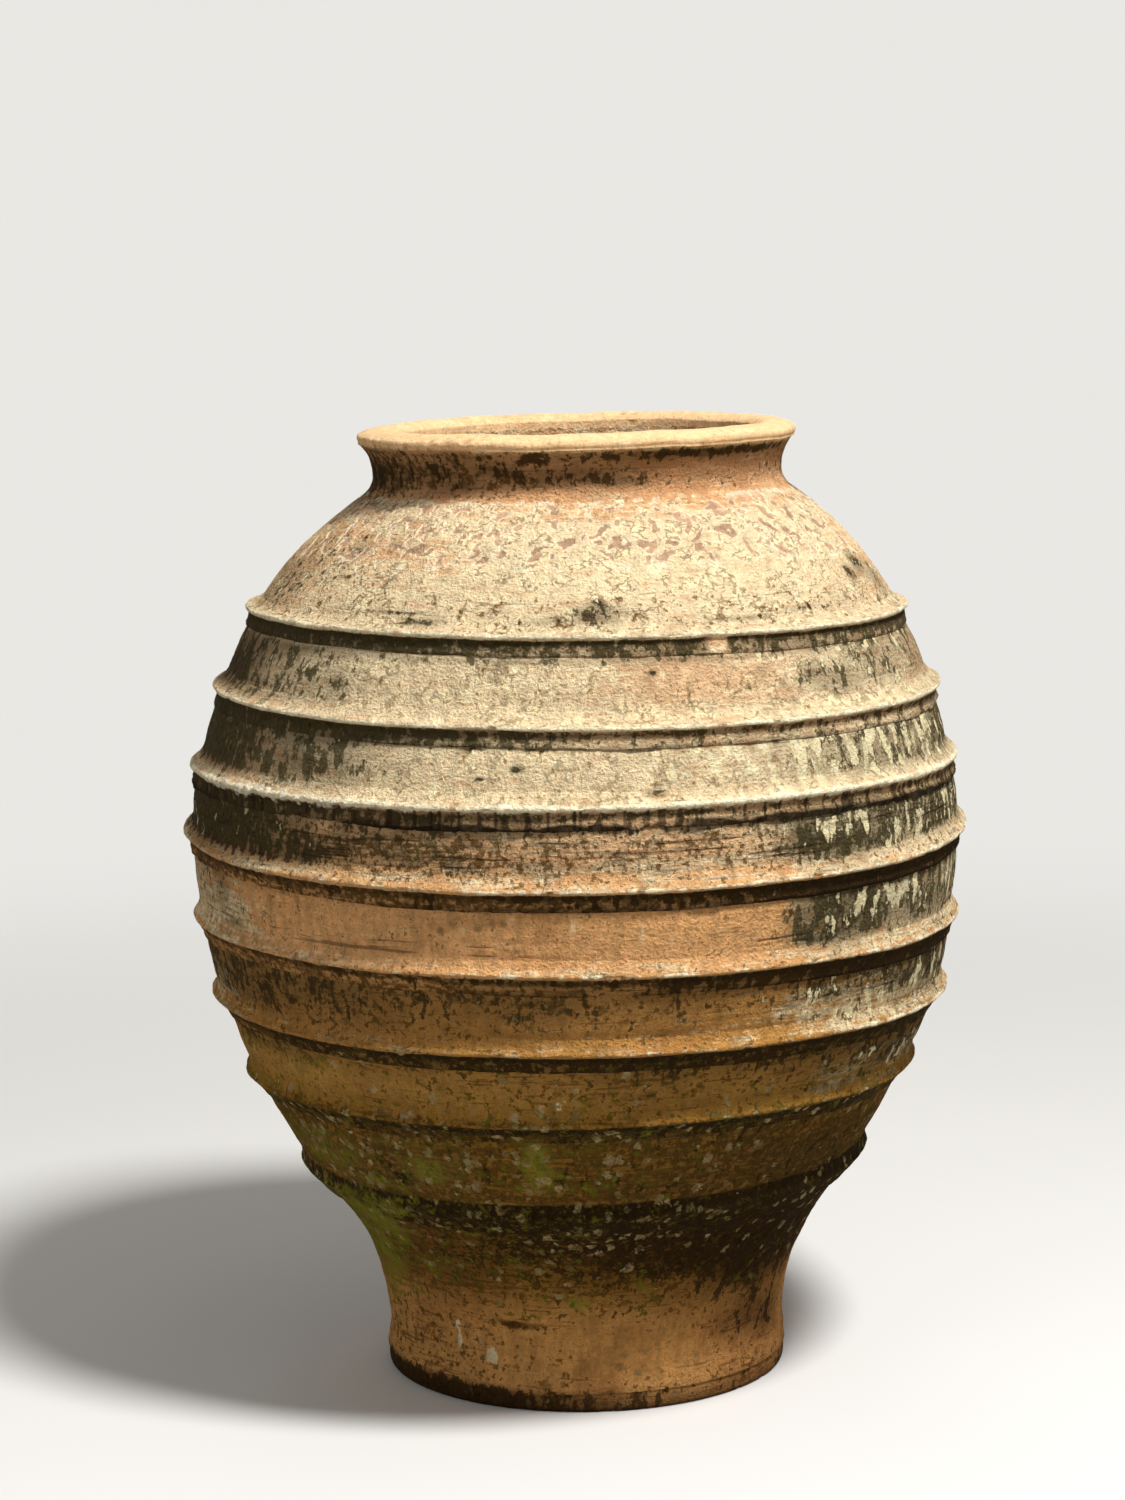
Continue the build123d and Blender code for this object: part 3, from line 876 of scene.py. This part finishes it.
bandSizes = {
    "Segments": 900, "Wander": 7, "Throwing Depth": 0.9,
    "Groove Depth": 1.2, "Lump Depth": 2.6, "Pit Depth": 1.2,
    "Chip Depth": 3.0, "Mark Depth": 1.2, "Cracked": 1.0, "Seed": 0.0,
}
# from the foot up: how far each band's lower edge has opened in millimetres, how much its skirt has
# cracked, and how far that edge wanders up and down the wall
bandGapes = (1.0, 0.8, 1.2, 2.0, 2.4, 4.2, 1.6, 1.0)
bandCracks = (0.1, 0.1, 0.15, 0.2, 0.25, 0.75, 0.15, 0.1)
bandSeamWanders = (14, 12, 14, 14, 16, 30, 18, 14)
crustBand = 6
crustAngle = math.radians(-50)
crustDepth = 4
# millimetres: how far the crest, the seam and the buried upper edge reach, how deep that edge sinks,
# and how close a run lies that belongs to a hidden face
bandReach = {"crest": 3.2, "crustedCrest": 7, "seam": 4.5, "edge": 4, "sink": 1.6, "touch": 0.3}
bandStep = 1.8 * millimetre


def buildBand(k):
    node = bandNames[k - 1]
    section = nodeSection(node)
    runs = splitRuns(section, cornerTurns["band"])
    reach = {name: size * millimetre for name, size in bandReach.items()}
    crestPoint = np.array(max(section))
    lowPoint = np.array(min(section, key=lambda point: point[1]))
    highPoint = np.array(max(section, key=lambda point: point[1]))
    seat = highPoint - lowPoint
    square = np.array((seat[1], -seat[0])) / np.linalg.norm(seat)

    def describe(number, run):
        stand = abs((run - lowPoint) @ square).max()
        if min(stand, abs((run - highPoint) @ square).max()) < reach["touch"]:
            return hiddenStep, keepAll, evenZones(0.0)

        def zonesAt(point):
            crestReach = reach["crustedCrest" if k == crustBand else "crest"]
            crest = math.exp(-(np.linalg.norm(point - crestPoint) / crestReach) ** 2)
            seam = math.exp(-(np.linalg.norm(point - lowPoint) / reach["seam"]) ** 2)
            # the skirt starts 3 mm below the crest, and its darkest strip, of dirt and painted shade, is 6
            # mm below
            drop = (crestPoint[1] - point[1]) / millimetre
            below = float(drop > 3)
            under = math.exp(-((drop - 6) / 4) ** 2)
            return (1.0, crest, seam), (below * bandCracks[k - 1], below * (1 + under))
        return bandStep, keepAll, zonesAt

    rows = layRows(runs, describe)
    # the upper edge sinks into the wall, so that the ledge grows out of it
    sunk = []
    for point, outward, zones, wear in rows:
        nearTop = math.exp(-(np.linalg.norm(point - highPoint) / reach["edge"]) ** 2)
        sunk.append((point - square * nearTop * reach["sink"], outward, zones, wear))
    sizes = {**bandSizes, "Seam Gape": bandGapes[k - 1],
             "Seam Wander": bandSeamWanders[k - 1], "Crust Angle": crustAngle,
             "Crust Depth": (k == crustBand) * crustDepth}
    return turnClay(node, sunk, sizes, bandClay, skirtGrimeAndShade[k - 1])


for k in range(1, len(bandNames) + 1):
    pieces.append(buildBand(k))
print("bands laid over the joints")


# Lip and floor slab

lipSizes = {
    **ringSizes, "Segments": 760, "Throwing Depth": 0.3, "Groove Depth": 0.6,
    "Lump Depth": 0.9,
}


def allSkin(step):
    return lambda number, run: (step, keepAll, evenZones(1.0))


lipRows = layRows(splitRuns(nodeSection("rim_lip"), cornerTurns["lip"]), allSkin(1.2 * millimetre))
pieces.append(turnClay("rim_lip", lipRows, lipSizes, rimClay))

slabLow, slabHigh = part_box("base_slab")
side = nodeSection("base_slab")
if side[0][1] > side[-1][1]:
    side.reverse()
sideRows = layRows([np.array(side)], allSkin(1.8 * millimetre))[:-1]
# flat rings between the axis and the edge, below and above
shares = (0.0, 0.3, 0.6, 0.85)
under = [((side[0][0] * share, slabLow.z), (0, -1), (0.0, 0.0, 0.0), (0.0, 0.0)) for share in shares]
over = [((side[-1][0] * share, slabHigh.z), (0, 1), (0.5, 0.0, 0.0), (0.0, 0.0)) for share in shares[::-1]]
slabSizes = {**lipSizes, "Wander": 0.0}
pieces.append(turnClay("base_slab", [*under, *sideRows, *over], slabSizes, footClay))
print("lip and floor slab built")


# Floor, light and camera

backdropColour = "#E9E8E4"
studioFloor = bpy.data.materials.new("studioFloor")
add = emptyTree(studioFloor)
floorPlace = add("TexCoord").outputs["Object"]
away = add("VectorMath", [floorPlace], "LENGTH").outputs["Value"]
# matt near the jar, and the backdrop's own colour from 3.4 m away
fade = add("MapRange", [away, 0.9, 3.4], interpolation_type="SMOOTHSTEP")
cameraRay = add("LightPath").outputs["Is Camera Ray"]
far = add("Math", [fade, cameraRay], "MULTIPLY")
tint = add("Mix", [cameraRay, "#A8A49C", "#F3F1ED"], data_type="RGBA")
matt = add("BsdfDiffuse", {"Color": tint})
glow = add("Emission", {"Color": backdropColour, "Strength": 1.0})
floorMix = add("MixShader", [far, matt, glow])
add("OutputMaterial", {"Surface": floorMix})
floorReach = 60.0
corners = [(x * floorReach, y * floorReach, 0) for x, y in ((-1, -1), (1, -1), (1, 1), (-1, 1))]
floorMesh = bpy.data.meshes.new("floor")
floorMesh.from_pydata(corners, [], [(0, 1, 2, 3)])
floorMesh.materials.append(studioFloor)
floorHolder = bpy.data.objects.new("floor", floorMesh)
link(floorHolder)

world = bpy.data.worlds.new("studio")
bpy.context.scene.world = world
add = emptyTree(world)
lightPath = add("LightPath").outputs
seen = lightPath["Is Camera Ray"]
for kind in ("Is Glossy Ray", "Is Transmission Ray"):
    seen = add("Math", [seen, lightPath[kind]], "MAXIMUM")
ambient = add("Background", {"Color": "#ECEAE6", "Strength": 0.27})
backdrop = add("Background", {"Color": backdropColour, "Strength": 1.0})
mixed = add("MixShader", [seen, ambient, backdrop])
add("OutputWorld", {"Surface": mixed})

lamps = {
    "keyLamp": {"place": (1.6, -1.85, 4.6), "size": 0.9, "watts": 250},
    "fillLamp": {"place": (-3.0, -2.8, 1.8), "size": 2.6, "watts": 17},
    "backLamp": {"place": (-0.6, 3.4, 3.4), "size": 2.0, "watts": 12},
}
for name, lamp in lamps.items():
    light = bpy.data.lights.new(name, "AREA")
    light.shape = "DISK"
    light.size = lamp["size"]
    light.energy = lamp["watts"]
    holder = bpy.data.objects.new(name, light)
    holder.location = lamp["place"]
    aim = Vector((0, 0, 0.5)) - holder.location
    holder.rotation_euler = aim.to_track_quat("-Z", "Y").to_euler()
    link(holder)

# the photo's own view: lens in pixels of its height, then the camera's place and turns in degrees
photoHeight = 1500
cameraView = {
    "place": (0.0, -3.849, 1.204), "lensPixels": 3684, "down": 8.109, "left": 0.2305, "roll": -0.851,
}
camera = bpy.data.cameras.new("photoCamera")
camera.sensor_width = 36
camera.lens = camera.sensor_width * cameraView["lensPixels"] / photoHeight
cameraHolder = bpy.data.objects.new("photoCamera", camera)
cameraHolder.matrix_world = (
    Matrix.Translation(cameraView["place"])
    @ Matrix.Rotation(math.radians(cameraView["left"]), 4, "Z")
    @ Matrix.Rotation(math.radians(90 - cameraView["down"]), 4, "X")
    @ Matrix.Rotation(math.radians(cameraView["roll"]), 4, "Z")
)
link(cameraHolder)
bpy.context.scene.camera = cameraHolder
bpy.context.scene.view_settings.view_transform = "Standard"

print("triangles:", sum(len(piece.data.polygons) * 2 for piece in pieces))
